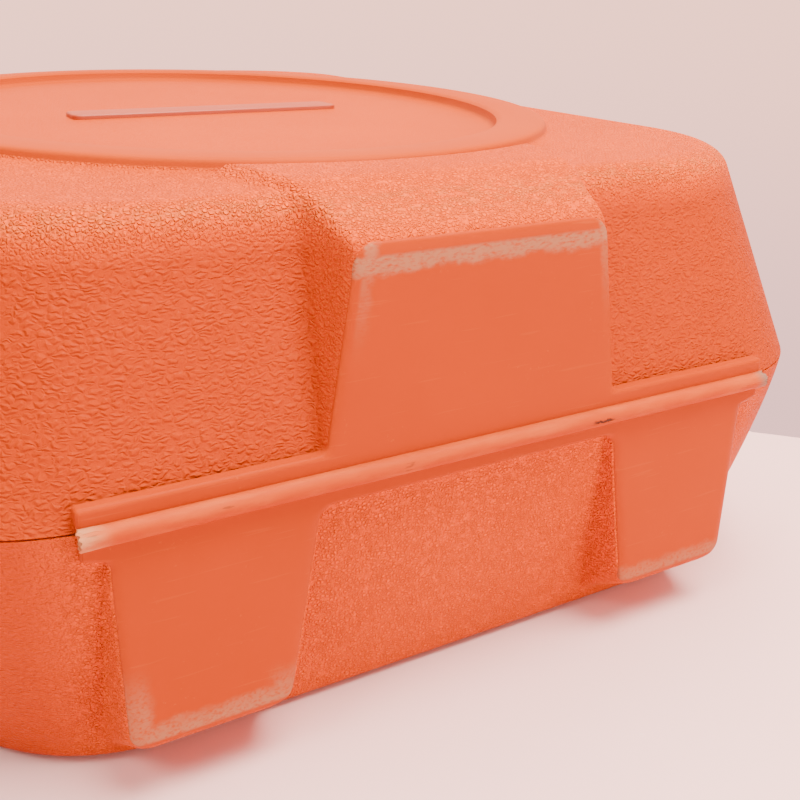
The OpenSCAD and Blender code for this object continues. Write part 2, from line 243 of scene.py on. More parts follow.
class Graph:
    """A material's node tree with one Principled shader."""

    def __init__(self, name: str) -> None:
        """Makes the material.

        Args:
            name: name of the material.
        """
        self.material = bpy.data.materials.new(name)
        self.material.use_nodes = True
        self.tree = self.material.node_tree
        self.shader = self.tree.nodes["Principled BSDF"]
        self.coordinates = Signal(self, self.node("ShaderNodeTexCoord").outputs["Object"])

    def node(self, kind: str, settings: dict | None = None, inputs: dict | None = None) -> bpy.types.Node:
        """Adds a node.

        Args:
            kind: type of the node.
            settings: properties, set before the sockets.
            inputs: socket name or index to a value or a Signal.

        Returns:
            The node.
        """
        node = self.tree.nodes.new(kind)
        for key, value in (settings or {}).items():
            setattr(node, key, value)
        for key, value in (inputs or {}).items():
            if isinstance(value, Signal):
                self.tree.links.new(value.socket, node.inputs[key])
            else:
                node.inputs[key].default_value = value
        return node

    def axes(self) -> tuple[Signal, Signal, Signal]:
        """The three object coordinates, in metres."""
        node = self.node("ShaderNodeSeparateXYZ", None, {0: self.coordinates})
        return Signal(self, node.outputs[0]), Signal(self, node.outputs[1]), Signal(self, node.outputs[2])

    def attribute(self, name: str) -> Signal:
        """A number that the mesh stores at each vertex."""
        node = self.node("ShaderNodeAttribute", {"attribute_name": name})
        return Signal(self, node.outputs["Fac"])

    def scaled(self, x: float, y: float, z: float) -> Signal:
        """Object coordinates stretched along each axis."""
        node = self.node("ShaderNodeMapping", None, {"Vector": self.coordinates, "Scale": (x, y, z)})
        return Signal(self, node.outputs[0])

    def noise(self, cell: float, detail: float = 2.0, vector: Signal | None = None) -> Signal:
        """Soft noise from 0 to 1 with blobs about one cell (in metres) wide."""
        inputs = {"Vector": vector or self.coordinates, "Scale": 1 / cell, "Detail": detail}
        return Signal(self, self.node("ShaderNodeTexNoise", None, inputs).outputs["Fac"])

    def warped(self, cell: float, amount: float) -> Signal:
        """Object coordinates pushed about by noise."""
        wobble = self.node("ShaderNodeTexNoise", None,
                           {"Vector": self.coordinates, "Scale": 1 / cell, "Detail": 1.0})
        centred = self.node("ShaderNodeVectorMath", {"operation": "SUBTRACT"},
                            {0: Signal(self, wobble.outputs["Color"]), 1: (0.5, 0.5, 0.5)})
        moved = self.node("ShaderNodeVectorMath", {"operation": "MULTIPLY_ADD"},
                          {0: Signal(self, centred.outputs[0]), 1: (amount,) * 3, 2: self.coordinates})
        return Signal(self, moved.outputs[0])

    def cells(self, cell: float, vector: Signal) -> Signal:
        """Distance to the edge inside cells about one cell wide, in cell widths."""
        node = self.node("ShaderNodeTexVoronoi", {"feature": "DISTANCE_TO_EDGE"},
                         {"Vector": vector, "Scale": 1 / cell})
        return Signal(self, node.outputs["Distance"])

    def _set(self, socket: bpy.types.NodeSocket, value: object) -> None:
        """Links a Signal, or stores a number or a colour."""
        if isinstance(value, Signal):
            self.tree.links.new(value.socket, socket)
        else:
            socket.default_value = (*value, 1.0) if isinstance(value, tuple) else value

    def mix(self, share: object, first: object, second: object) -> Signal:
        """Mixes two colours."""
        node = self.node("ShaderNodeMix", {"data_type": "RGBA"})
        for index, value in ((0, share), (6, first), (7, second)):
            self._set(node.inputs[index], value)
        return Signal(self, node.outputs[2])

    def bump(self, height: Signal, distance: float, strength: float = 1.0) -> Signal:
        """Normal from a height."""
        node = self.node("ShaderNodeBump", None,
                         {"Height": height, "Distance": distance, "Strength": strength})
        return Signal(self, node.outputs[0])

    def dress(self, **sockets: object) -> bpy.types.Material:
        """Sets the shader's sockets.

        Args:
            sockets: socket names with _ for blanks, to a value or a Signal.

        Returns:
            The material.
        """
        for key, value in sockets.items():
            self._set(self.shader.inputs[key.replace("_", " ")], value)
        return self.material


# ---------------------------------------------------------------- finishes


@dataclass(frozen=True)
class Plastic:
    """Colours, wear and painted light of the case's polyethylene, as linear RGB."""

    body: Rgb = (0.44, 0.042, 0.0)
    # Painted light: the lighter tone of the grained walls, mixed in with the attribute for smaller grain.
    bright: Rgb = (0.88, 0.098, 0.0)
    crown: Rgb = (0.46, 0.055, 0.0)
    # Painted shade in the grain's hollows, also the darker side of its random tone.
    mottle_and_hollow_shade: Rgb = (0.33, 0.024, 0.0)
    smooth: Rgb = (0.40, 0.039, 0.0)
    faded: Rgb = (0.60, 0.130, 0.026)
    scuff: Rgb = (0.36, 0.175, 0.095)
    inner: Rgb = (0.55, 0.050, 0.0)
    dirt: Rgb = (0.12, 0.030, 0.014)
    # Painted highlight along the top of the hinge bead.
    bead_highlight: Rgb = (0.70, 0.20, 0.05)
    crack: Rgb = (0.07, 0.02, 0.012)
    frayed: Rgb = (0.52, 0.22, 0.10)
    soiled: Rgb = (0.22, 0.13, 0.09)
    roughness: float = 0.46
    wrinkle: float = 0.0017
    grain: float = 0.00125


@dataclass(frozen=True)
class Trim:
    """Colours of the fittings, as linear RGB."""

    black: Rgb = (0.021, 0.022, 0.025)
    grip: Rgb = (0.014, 0.014, 0.016)
    steel: Rgb = (0.60, 0.61, 0.62)
    dull: Rgb = (0.46, 0.46, 0.47)


class Finishes:
    """Makes and keeps the materials, one for each finish of the record."""

    tear = 44.5

    def __init__(self, size: Measures) -> None:
        """Makes all materials.

        Args:
            size: measures of the case, for wear that follows its edges.
        """
        self.size = size
        self.plastic = Plastic()
        self.trim = Trim()
        self.grained = self._grained()
        self.pad_upper = self._pad("upper_pad_orange", self._upper_edges)
        self.pad_lower = self._pad("lower_pad_orange", self._lower_edges)
        self.hinge = self._hinge()
        self.plaque = self._plain("plaque_orange", self.plastic.smooth, 0.42, 0.0006)
        self.inner = self._plain("inner_orange", self.plastic.inner, 0.5, 0.0018)
        self.black = self._plain("black_textured", self.trim.black, 0.5, 0.0007)
        self.grip = self._grip()
        self.steel = self._steel()

    def _grained(self) -> bpy.types.Material:
        """Moulded leather grain, fading to smaller grain and to a smooth face by stored attributes; where the
        grain is smaller the colour is also lighter, as painted light.
        """
        g = Graph("grained_orange")
        p = self.plastic
        fine = g.attribute("fine")
        plain = g.attribute("plain")
        flow = g.warped(0.0030, 0.0025)
        stretched = g.node("ShaderNodeMapping", None, {"Vector": flow, "Rotation": (0.0, 0.22, 0.0),
                                                       "Scale": (0.55, 0.85, 1.25)})
        folds = g.cells(p.wrinkle, Signal(g, stretched.outputs[0]))
        swells = g.noise(0.0052, 2.0, g.scaled(0.45, 0.8, 1.2))
        pores = g.cells(p.grain, g.warped(0.002, 0.0006))
        coarse = folds.ramp(0.0, 0.42) * 0.70 + swells.ramp(0.3, 0.7) * 0.30
        small = pores.ramp(0.0, 0.35)
        height = coarse * (1 - fine) + small * fine * 1.5
        relief = height * (1 - plain) + g.noise(0.0008, 2.0) * 0.10 * plain
        shade = g.noise(0.055, 3.0).ramp(0.25, 0.75)
        # Painted light and shade: the colour goes from the body colour to a lighter tone as the attribute
        # that also makes the grain smaller rises, so the lid's top and the base's front and back walls are
        # lighter and the base's ends darker.
        tone = g.mix(plain, g.mix(fine, p.body, p.bright), p.crown)
        # Darker where the grain's relief is low: painted shade in its hollows, together with darker tone that
        # varies at random.
        colour = g.mix(shade * 0.15 + (1 - height) * 0.22 * (1 - plain), tone, p.mottle_and_hollow_shade)
        smudge = g.noise(0.018, 3.0).ramp(0.68, 0.80) * g.noise(0.0009, 3.0).ramp(0.40, 0.62)
        colour = g.mix(smudge * 0.22 * (1 - plain), colour, p.dirt)
        rub = g.attribute("rub") * g.noise(0.0022, 4.0, g.scaled(0.5, 1, 1)).ramp(0.38, 0.60)
        colour = g.mix(rub * 0.45, colour, p.faded)
        rough = p.roughness - height * 0.06 * (1 - plain)
        return g.dress(Base_Color=colour, Roughness=rough, Normal=g.bump(relief, 0.0006, 0.95),
                       Specular_IOR_Level=0.03)

    def _upper_edges(self, g: Graph) -> tuple[Signal, Signal]:
        """Wear and the deepest wear of the lid's pad, from distances to its edges in metres."""
        rim = self.size.rim
        x, _, z = g.axes()
        top = (rim + FIXED.pad_top) * MM - z
        lean = (z - (rim + FIXED.pad_low) * MM) * FIXED.pad_lean
        side_left = x + FIXED.pad_half_low * MM - lean
        side_right = FIXED.pad_half_low * MM - x - lean
        upper = (z - (rim + 30.0) * MM).ramp(0.0, 0.034)
        soft = g.noise(0.005, 4.0) * 0.006
        streaks = g.noise(0.0009, 5.0, g.scaled(0.5, 1.0, 1.2)).ramp(0.20, 0.60)
        clear = (top - 0.0028).ramp(0.0, 0.0014)
        band = (top - soft).ramp(0.0066, 0.0040) * streaks * clear
        sides = ((side_left - soft * 0.7).ramp(0.0055, 0.0022) * 0.7 * (side_left - 0.0018).ramp(0.0, 0.0012)
                 ).at_least((side_right - soft * 0.6).ramp(0.0026, 0.0006) * 0.8) * upper * streaks
        return band.at_least(sides), (top - soft * 0.7).ramp(0.0070, 0.0040)

    def _lower_edges(self, g: Graph) -> tuple[Signal, Signal]:
        """Wear and the deepest wear of the two feet, from distances to their edges in metres."""
        rim = self.size.rim
        x, _, z = g.axes()
        bottom = z - (rim - FIXED.foot_low) * MM
        outer_left = x + FIXED.foot_outer * MM
        inner_left = (x + FIXED.foot_inner_low * MM).size()
        soft = g.noise(0.006, 4.0) * 0.005
        streaks = g.noise(0.0009, 5.0, g.scaled(0.8, 1.0, 1.0)).ramp(0.20, 0.60)
        left_leg = x.ramp(0.0, -0.002)
        low_half = (z - (rim - 44.0) * MM).ramp(0.004, -0.016)
        clear = (bottom - 0.0014).ramp(0.0, 0.0014)
        foot_band = (bottom - soft * 1.1).ramp(0.0064, 0.0034) * (0.75 + 0.25 * left_leg)
        left_band = (outer_left - soft * 0.9).ramp(0.0056, 0.0020) * low_half * left_leg
        corner = (inner_left - soft).ramp(0.006, 0.001) * (bottom - soft).ramp(0.014, 0.003) * left_leg
        wear = foot_band.at_least(left_band).at_least(corner) * streaks * clear
        return wear, (bottom - soft * 0.6).ramp(0.0048, 0.0015)

    def _pad(self, name: str, edges: Callable[[Graph], tuple[Signal, Signal]]) -> bpy.types.Material:
        """Smooth face with scuffed edges and faint scratches."""
        g = Graph(name)
        p = self.plastic
        wear, bare = edges(g)
        mottled = g.noise(0.030, 3.0).ramp(0.3, 0.7)
        colour = g.mix(mottled * 0.35, p.smooth, p.body)
        fleck = g.noise(0.0011, 3.0).ramp(0.66, 0.74) * g.noise(0.018, 2.0).ramp(0.50, 0.65)
        colour = g.mix(fleck * 0.25, colour, p.faded)
        hair = g.noise(0.0016, 2.0, g.scaled(0.06, 1.0, 1.3)).ramp(0.640, 0.690)
        colour = g.mix(hair * 0.12, colour, p.faded)
        colour = g.mix(wear * 0.55, colour, p.scuff)
        colour = g.mix(wear * bare * 0.40, colour, p.scuff)
        relief = g.noise(0.0009, 3.0) * 0.16 - wear * g.noise(0.0007, 3.0) * 0.7
        return g.dress(Base_Color=colour, Roughness=0.42 + wear * 0.25 + mottled * 0.05,
                       Normal=g.bump(relief, 0.00016, 0.7), Specular_IOR_Level=0.04)

    def _hinge(self) -> bpy.types.Material:
        """Flexed and whitened polyethylene, torn pale at its left end and grey at its right."""
        g = Graph("hinge_orange")
        p = self.plastic
        x, _, z = g.axes()
        left = (x + self.size.bead_half * MM).ramp(0.010, 0.001)
        right = (self.size.bead_half * MM - x).ramp(0.007, 0.001)
        along = g.noise(0.0032, 4.0, g.scaled(0.22, 1.0, 1.0))
        colour = g.mix(along.ramp(0.40, 0.75) * 0.30 + left * 0.4, p.body, p.faded)
        # Painted highlight: the top of the bead is lightened a little.
        crown = (z - self.size.rim * MM).ramp(-0.0005, 0.0024)
        colour = g.mix(crown * 0.10, colour, p.bead_highlight)
        nick = g.noise(0.0014, 3.0, g.scaled(0.18, 1.0, 1.0)).ramp(0.67, 0.72)
        nick = nick * g.noise(0.03, 1.0).ramp(0.52, 0.58)
        tear_x = (x - self.tear * MM).size().ramp(0.0052, 0.0026)
        wander = (g.noise(0.0016, 2.0) - 0.5) * 0.0016
        tear_z = (z - self.size.rim * MM + 0.0002 + wander).size().ramp(0.0006, 0.0002)
        colour = g.mix(nick * 0.5, colour, p.dirt)
        colour = g.mix((tear_x * tear_z).at_most(1.0), colour, p.crack)
        frayed = g.noise(0.0017, 4.0, g.scaled(0.25, 1.0, 1.0)).ramp(0.35, 0.6)
        colour = g.mix(left * (0.25 + 0.55 * frayed), colour, p.frayed)
        colour = g.mix(right * (0.4 + 0.5 * frayed), colour, p.soiled)
        relief = along * 0.55 + g.noise(0.0007, 3.0) * 0.25 - tear_x * tear_z + frayed * left * 0.8
        return g.dress(Base_Color=colour, Roughness=0.5 + along * 0.1,
                       Normal=g.bump(relief, 0.0004, 0.8), Specular_IOR_Level=0.06)

    def _plain(self, name: str, colour: Rgb, roughness: float, cell: float) -> bpy.types.Material:
        """One colour with a light moulded texture."""
        g = Graph(name)
        shade = g.noise(0.03, 3.0)
        darker = tuple(c * 0.8 for c in colour)
        return g.dress(Base_Color=g.mix(shade * 0.6, colour, darker), Roughness=roughness + shade * 0.08,
                       Normal=g.bump(g.cells(cell, g.warped(cell * 3, cell)), cell * 0.2, 0.6))

    def _grip(self) -> bpy.types.Material:
        """Soft rubber."""
        g = Graph("soft_grip")
        return g.dress(Base_Color=self.trim.grip, Roughness=0.72 + g.noise(0.01) * 0.1,
                       Normal=g.bump(g.noise(0.0006, 3.0), 0.0001, 0.5))

    def _steel(self) -> bpy.types.Material:
        """Zinc-plated steel."""
        g = Graph("zinc_steel")
        cloud = g.noise(0.004, 4.0)
        return g.dress(Base_Color=g.mix(cloud * 0.5, self.trim.steel, self.trim.dull), Metallic=1.0,
                       Roughness=0.30 + cloud * 0.14)


# ---------------------------------------------------------------- shapes


@dataclass
class Outline:
    """Closed outline, anticlockwise, with a radius at each corner and a share of the inset for each side.

    Side i runs from corner i to the next one.
    """

    corners: Sequence[tuple[float, float]]
    radii: Sequence[float]
    steps: int = 6
    shares: Sequence[float] | None = None

    def ring(self, inset: float) -> np.ndarray:
        """Points of the outline moved inwards.

        Args:
            inset: how far the line moves inwards, in millimetres.

        Returns:
            An array of points, with the same count for every inset.
        """
        points = np.array(self.corners, float)
        ways = np.roll(points, -1, axis=0) - points
        ways /= np.linalg.norm(ways, axis=1)[:, None]
        inward = np.stack([-ways[:, 1], ways[:, 0]], 1)
        out = []
        for i, radius in enumerate(self.radii):
            before, after = ways[i - 1], ways[i]
            angle = math.atan2(before[0] * after[1] - before[1] * after[0], float(before @ after))
            side = 1.0 if angle > 0 else -1.0
            last, here = (self.shares[i - 1], self.shares[i]) if self.shares else (1.0, 1.0)
            corner = points[i] + np.linalg.solve(np.array([inward[i - 1], inward[i]]),
                                                 np.array([last, here]) * inset)
            r = max(radius - side * inset * min(last, here), 0.15)
            centre = corner - before * r * math.tan(abs(angle) / 2) + inward[i - 1] * r * side
            spoke = -inward[i - 1] * r * side
            for k in range(self.steps + 1):
                turn = angle * k / self.steps
                c, s = math.cos(turn), math.sin(turn)
                out.append(centre + np.array([c * spoke[0] - s * spoke[1], s * spoke[0] + c * spoke[1]]))
        return np.array(out)


@dataclass
class Wedge:
    """Buttress bounded by planes, each a point and a normal that points out of it."""

    planes: Sequence[tuple[np.ndarray, np.ndarray]]
    crease: float = 2.0
    far_crease: float = 2.0
    far_from: float = 50.0
    far_to: float = 72.0

    @staticmethod
    def front() -> tuple[np.ndarray, np.ndarray]:
        """The plane just behind the smooth plates."""
        return np.array([0.0, FIXED.face, 0.0]), np.array([0.0, -1.0, 0.0])

    @staticmethod
    def plane(a: Sequence[float], b: Sequence[float], c: Sequence[float],
              inside: Sequence[float]) -> tuple[np.ndarray, np.ndarray]:
        """A plane through three points, facing away from a point inside the buttress."""
        first, second, third, middle = (np.array(v, float) for v in (a, b, c, inside))
        normal = np.cross(second - first, third - first)
        normal /= np.linalg.norm(normal)
        return first, -normal if (middle - first) @ normal > 0 else normal

    def rise(self, points: np.ndarray, ways: np.ndarray) -> np.ndarray:
        """How far each point is from the wedge's outside along its way, negative outside its plan."""
        out = None
        width = self.crease + (self.far_crease - self.crease) * smoothstep(
            np.abs(points[:, 2]), self.far_from, self.far_to)
        for origin, normal in self.planes:
            across = ways @ normal
            gap = (origin - points) @ normal
            facing = np.where(across > 0.02, gap / np.maximum(across, 0.02), np.where(gap < 0, gap * 5, 1e3))
            out = facing if out is None else smooth_least(out, facing, width)
        return out


def smooth_least(a: np.ndarray, b: np.ndarray, width: float) -> np.ndarray:
    """The lesser of two values with a rounded join."""
    blend = np.clip(0.5 + 0.5 * (b - a) / width, 0, 1)
    return b * (1 - blend) + a * blend - width * blend * (1 - blend)


def smooth_most(a: np.ndarray, b: np.ndarray, width: float) -> np.ndarray:
    """The greater of two values with a rounded join."""
    return -smooth_least(-a, -b, width)


def smoothstep(value: np.ndarray, low: float, high: float) -> np.ndarray:
    """Rises smoothly from 0 at low to 1 at high."""
    t = np.clip((value - low) / (high - low), 0, 1)
    return t * t * (3 - 2 * t)


class Workshop:
    """Makes finished pieces from rings of points and gives each its body and material."""

    def __init__(self, size: Measures) -> None:
        """Keeps the measures.

        Args:
            size: measures of the case.
        """
        self.size = size
        self.count = 0

    def start(self) -> None:
        """Leaves nothing selected."""
        bpy.ops.object.select_all(action="DESELECT")

    def edit(self, *steps: Callable[[], object]) -> None:
        """Runs edit-mode operators on the whole active mesh."""
        bpy.ops.object.mode_set(mode="EDIT")
        bpy.ops.mesh.select_all(action="SELECT")
        for step in steps:
            step()
        bpy.ops.object.mode_set(mode="OBJECT")

    def loft(self, name: str, rings: np.ndarray, fields: dict[str, np.ndarray] | None = None,
             ends: bool = True) -> bpy.types.Object:
        """A skin over closed rings, from a grid whose vertices are moved on to them.

        Args:
            name: name of the object.
            rings: array of rings by points by three, in case millimetres.
            fields: numbers to store at the vertices, each rings by points.
            ends: whether both ends are closed with a face.

        Returns:
            The object, at the origin.
        """
        self.start()
        count, points = rings.shape[:2]
        bpy.ops.mesh.primitive_grid_add(x_subdivisions=points, y_subdivisions=count - 1, size=1)
        obj = bpy.context.object
        obj.name = obj.data.name = name
        closed = np.concatenate([rings, rings[:, :1]], axis=1).reshape(-1, 3)
        obj.data.vertices.foreach_set("co", self.size.place(closed).astype(np.float32).ravel())
        for key, values in (fields or {}).items():
            layer = obj.data.attributes.new(key, "FLOAT", "POINT")
            whole = np.concatenate([values, values[:, :1]], axis=1)
            layer.data.foreach_set("value", whole.astype(np.float32).ravel())
        obj.data.update()
        self.edit(lambda: bpy.ops.mesh.remove_doubles(threshold=2e-6))
        if ends:
            self.edit(lambda: bpy.ops.mesh.select_all(action="DESELECT"),
                      lambda: bpy.ops.mesh.select_non_manifold(),
                      lambda: bpy.ops.mesh.fill_holes(sides=0),
                      lambda: bpy.ops.mesh.select_all(action="SELECT"),
                      lambda: bpy.ops.mesh.normals_make_consistent(inside=False))
        return obj

    def modify(self, obj: bpy.types.Object, kind: str, **settings: object) -> None:
        """Adds a modifier and applies it."""
        modifier = obj.modifiers.new(kind.lower(), kind)
        for key, value in settings.items():
            setattr(modifier, key, value)
        bpy.context.view_layer.objects.active = obj
        bpy.ops.object.modifier_apply(modifier=modifier.name)

    def smooth(self, obj: bpy.types.Object, degrees: float = 35.0) -> None:
        """Smooth shading up to an angle."""
        self.start()
        obj.select_set(True)
        bpy.context.view_layer.objects.active = obj
        bpy.ops.object.shade_smooth_by_angle(angle=math.radians(degrees))
        obj.select_set(False)

    def finish(self, obj: bpy.types.Object, body: Body, slot: Slot, material: bpy.types.Material,
               replaces: Sequence[str] = (), degrees: float = 35.0) -> bpy.types.Object:
        """Gives a piece its material and body.

        Args:
            obj: the object.
            body: the CAD body that it moves with.
            slot: not used.
            material: its material.
            replaces: CAD nodes that it stands for.
            degrees: angle up to which faces are shaded smoothly.

        Returns:
            The object.
        """
        self.smooth(obj, degrees)
        obj.data.materials.clear()
        obj.data.materials.append(material)
        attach(obj, body.value)
        if replaces:
            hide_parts(*replaces)
        self.count += 1
        LOG.info("%s: %d faces", obj.name, len(obj.data.polygons))
        return obj

    def raised(self, name: str, outline: Outline, base: float, face: float,
               border: Sequence[tuple[float, float]],
               upward: Callable[[np.ndarray, float], np.ndarray]) -> bpy.types.Object:
        """A flat pad with a rounded border.

        Args:
            name: name of the object.
            outline: its outline.
            base: height of its back.
            face: height of its face.
            border: inset and drop below the face of each line of the border, from outside.
            upward: turns outline points and a height into three coordinates.

        Returns:
            The object.
        """
        rings = [upward(outline.ring(0.0), base)]
        rings += [upward(outline.ring(inset), face - drop) for inset, drop in border]
        return self.loft(name, np.array(rings))


@dataclass
class Perimeter:
    """Stations round a rounded rectangle whose front and back keep fixed places along x."""

    half_width: float
    front: float
    back: float
    front_reach: float
    front_counts: Sequence[int]
    back_marks: Sequence[float]
    corner_steps: int = 22
    side_steps: int = 40
    back_reach: float = 112.0
    xs_back: np.ndarray = field(init=False)

    def __post_init__(self) -> None:
        """Works out the fixed stations."""
        even = np.linspace(-self.back_reach, self.back_reach, 57)
        marks = np.array(self.back_marks, float)
        even = even[np.abs(even[:, None] - marks[None]).min(1) > 1.6]
        near = np.concatenate([marks - 0.5, marks + 0.5])
        self.xs_back = np.sort(np.concatenate([even, near]))[::-1]

    def stations(self, marks: Sequence[float]) -> np.ndarray:
        """Places along the front, with a fixed count between each two marks.

        Args:
            marks: rising places on the positive side, without the ends.

        Returns:
            The places, from left to right.
        """
        knots = [0.0, *marks, self.front_reach]
        right = np.concatenate([np.linspace(a, b, n + 1)[1:]
                                for a, b, n in zip(knots, knots[1:], self.front_counts)])
        return np.concatenate([-right[::-1], [0.0], right])

    def ring(self, side_in: float, end_in: float, radius: float, z: float,
             marks: Sequence[float]) -> np.ndarray:
        """Points of the outline at one height.

        Args:
            side_in: how far the sides stand in.
            end_in: how far the front and back stand in.
            radius: corner radius.
            z: height.
            marks: places along the front that stations keep to.

        Returns:
            Points by three.
        """
        xs = self.stations(marks)
        w = self.half_width - side_in
        y0, y1 = self.front + end_in, self.back - end_in
        cx = w - radius

        def bulge(places: np.ndarray) -> np.ndarray:
            """How far the corners' arcs have come in at places along x."""
            past = np.maximum(np.abs(places) - cx, 0)
            return radius - np.sqrt(np.maximum(radius ** 2 - past ** 2, 0))

        def arc(reach: float) -> np.ndarray:
            """Angles of the part of a corner's arc that lies past a place along x."""
            start = math.asin(min(max((reach - cx) / radius, 0.0), 0.999))
            return np.linspace(start, math.pi / 2, self.corner_steps + 1)[1:]

        front = np.stack([xs, y0 + bulge(xs)], 1)
        back = np.stack([self.xs_back, y1 - bulge(self.xs_back)], 1)
        fa, ba = arc(self.front_reach), arc(float(self.xs_back[0]))
        right_front = np.stack([cx + radius * np.sin(fa), y0 + radius - radius * np.cos(fa)], 1)
        right_back = np.stack([cx + radius * np.sin(ba), y1 - radius + radius * np.cos(ba)], 1)[::-1]
        ys = np.linspace(y0 + radius, y1 - radius, self.side_steps + 1)[1:-1]
        side = np.stack([np.full_like(ys, w), ys], 1)
        flip = np.array([-1.0, 1.0])
        flat = np.concatenate([front, right_front, side, right_back, back,
                               right_back[::-1] * flip, side[::-1] * flip, right_front[::-1] * flip])
        return np.column_stack([flat, np.full(len(flat), z)])


@dataclass(frozen=True)
class Recess:
    """Boxes pressed into the back wall, each round one middle along x."""

    middles: Sequence[float]
    half: float
    low: float
    top: float
    floor: float

    def edges(self) -> list[float]:
        """Where the boxes start and end along x."""
        return [middle + side * self.half for middle in self.middles for side in (-1.0, 1.0)]

    def press(self, points: np.ndarray) -> np.ndarray:
        """Moves the points of the back wall that lie in the box on to its floor."""
        inside = np.zeros(len(points), bool)
        for middle in self.middles:
            inside |= np.abs(points[:, 0] - middle) < self.half
        inside &= (points[:, 2] > self.low) & (points[:, 2] < self.top) & (points[:, 1] > self.floor)
        moved = points.copy()
        moved[inside, 1] = self.floor
        return moved


@dataclass
class Drafted:
    """Section of a wall that leans in from the rim and turns over a rounded edge."""

    side_draft: float
    end_draft: float
    edge: float
    height: float

    def __post_init__(self) -> None:
        """Works out the wall's height and how far its top line stands in."""
        side, end = math.radians(self.side_draft), math.radians(self.end_draft)
        self.slope = math.tan(side)
        self.core = self.height - self.edge
        self.wall = self.core + self.edge * math.sin(side)
        self.side_in = self.edge * math.cos(side) + self.slope * self.wall
        self.end_in = self.edge * math.cos(end) + math.tan(end) * (self.core + self.edge * math.sin(end))
        self.end_run = self.end_in - self.edge * math.cos(side)

    def turn(self, steps: int) -> Iterator[tuple[float, float, float, float]]:
        """Lines round the edge.

        Args:
            steps: how many lines.

        Returns:
            For each line, how far sides and ends stand in, its height and the way it faces.
        """
        first = math.radians(self.side_draft)
        for k in range(1, steps + 1):
            a = first + (math.pi / 2 - first) * k / steps
            back = self.edge * math.cos(a)
            yield (self.side_in - back, self.end_in - back, self.core + self.edge * math.sin(a),
                   math.pi / 2 * k / steps)


class Skin:
    """Rings of a shell and the numbers that its grain and its painted light need at each point."""

    def __init__(self) -> None:
        """Starts without rings."""
        self.rings: list[np.ndarray] = []
        self.fields: dict[str, list[np.ndarray]] = {"fine": [], "plain": [], "rub": []}

    def add(self, ring: np.ndarray, fine: object = 1.0, plain: object = 0.0, rub: object = 0.0) -> None:
        """Adds a ring.

        Args:
            ring: its points.
            fine: share of smaller grain and of painted light, one number or one for each point.
            plain: share of smooth face.
            rub: share of rubbed, paler plastic.
        """
        self.rings.append(ring)
        for values, value in zip(self.fields.values(), (fine, plain, rub)):
            values.append(np.zeros(len(ring)) + value)

    def build(self, shop: Workshop, name: str, inside_out: bool) -> bpy.types.Object:
        """Makes the shell and gives it its thickness."""
        fields = {key: np.array(values) for key, values in self.fields.items()}
        obj = shop.loft(name, np.array(self.rings), fields, ends=False)
        if inside_out:
            shop.edit(lambda: bpy.ops.mesh.flip_normals())
        shop.modify(obj, "SOLIDIFY", thickness=FIXED.wall * MM, offset=-1.0, use_rim=True)
        return obj


# ---------------------------------------------------------------- the case


LID_LATCHES = Recess(middles=(-90.0, 90.0), half=20.0, low=-1.0, top=36.0, floor=482.0)
BASE_LATCHES = Recess(middles=(-90.0, 90.0), half=20.0, low=-44.0, top=1.0, floor=482.0)
HANDLE_WELL = Recess(middles=(0.0,), half=63.0, low=-66.0, top=-4.0, floor=478.0)
HINGE_ZONE = 90.0


